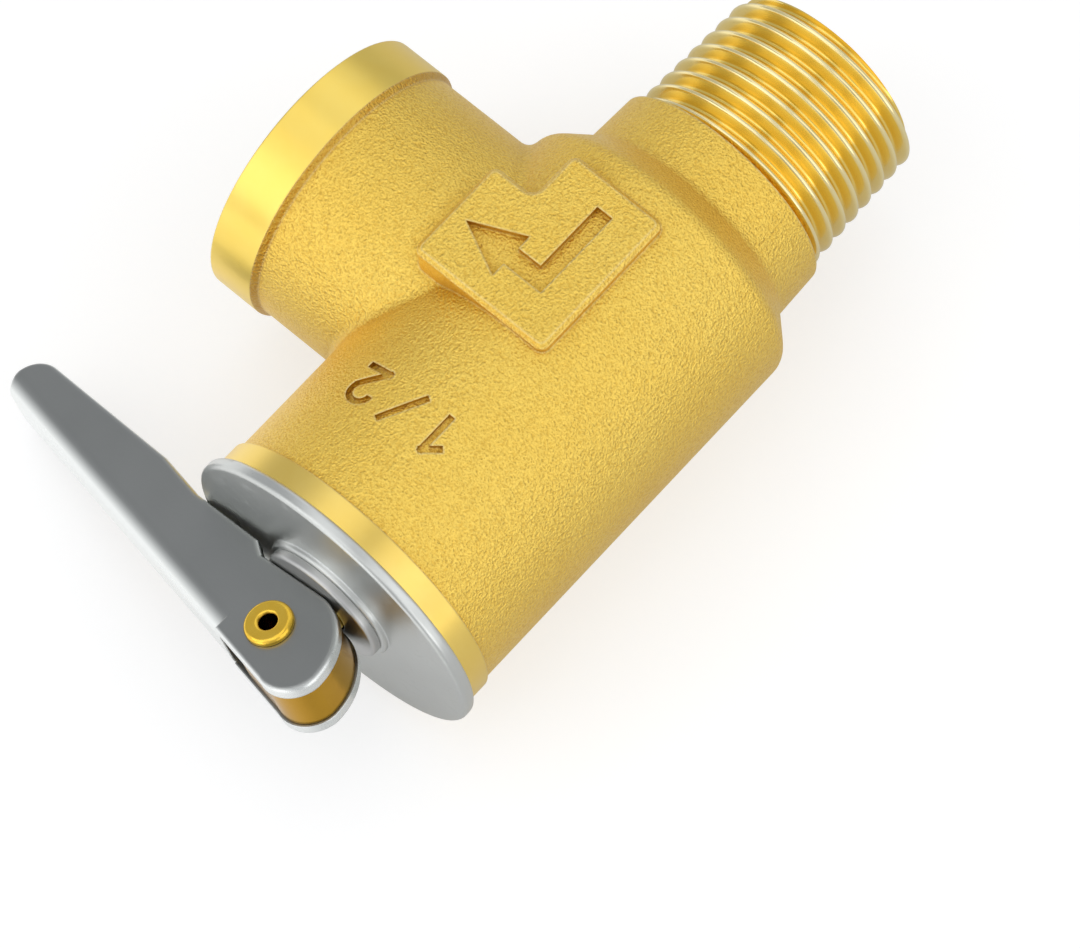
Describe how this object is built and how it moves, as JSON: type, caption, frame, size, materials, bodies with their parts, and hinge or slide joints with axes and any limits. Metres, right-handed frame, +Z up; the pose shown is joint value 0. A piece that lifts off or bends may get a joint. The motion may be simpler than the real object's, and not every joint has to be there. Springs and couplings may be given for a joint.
{
  "type": "pressure relief valve",
  "caption": "Brass angle pressure relief valve with threaded inlet and outlet, spring-loaded disc and a swivelling lever that lifts the disc by hand.",
  "frame": {"origin": "centre of the male inlet thread's end face", "axes": "+Z up the valve's axis from the inlet to the lever; +X the way the outlet faces; -Y the side with the raised pad and the flow arrow"},
  "size_m": [0.0547, 0.0313, 0.077],
  "materials": {
    "cast_brass": "sand-cast with machined ends",
    "seat_brass": "turned",
    "stainless": "turned stainless steel",
    "seal_rubber": "moulded rubber",
    "spring_steel": "drawn stainless wire",
    "bush_plastic": "turned bearing plastic",
    "plated_steel": "pressed and nickel-plated",
    "lever_steel": "pressed and nickel-plated",
    "block_brass": "turned and milled",
    "rivet_brass": "rolled brass tube"
  },
  "bodies": {
    "casting": {"valve_body": "cast_brass", "valve_seat": "seat_brass", "spring": "spring_steel", "upper_spring_seat": "seat_brass", "adjusting_screw": "seat_brass", "lock_ring": "seat_brass", "guide_bush": "bush_plastic", "spindle_o_ring": "seal_rubber", "cap_seal_ring": "seal_rubber", "cap_plate": "plated_steel"},
    "swivel": {"thrust_washer": "plated_steel"},
    "lift": {"spindle": "seat_brass", "spindle_pin": "stainless", "disc_holder": "seat_brass", "disc_seal": "seal_rubber", "seal_washer": "stainless", "seal_screw": "stainless", "lower_spring_seat": "seat_brass", "pivot_block": "block_brass", "rivet": "rivet_brass"},
    "hand_lever": {"lever": "lever_steel"}
  },
  "joints": [
    {"name": "lever_swivel", "type": "hinge", "parent": "casting", "child": "swivel", "pos_m": [0, 0, 0.067], "axis": [0, 0, 1], "continuous": true},
    {"name": "spindle_lift", "type": "slide", "parent": "swivel", "child": "lift", "axis": [0, 0, 1], "range_m": [0, 0.00245], "deforming": ["spring"]},
    {"name": "lever_pivot", "type": "hinge", "parent": "lift", "child": "hand_lever", "pos_m": [0, 0, 0.0723], "axis": [0.309, -0.9511, 0], "range_deg": [0, 85]}
  ],
  "couplings": [
    {"joint": "lever_pivot", "follows": "spindle_lift", "rad_per_m": 604.23}
  ]
}
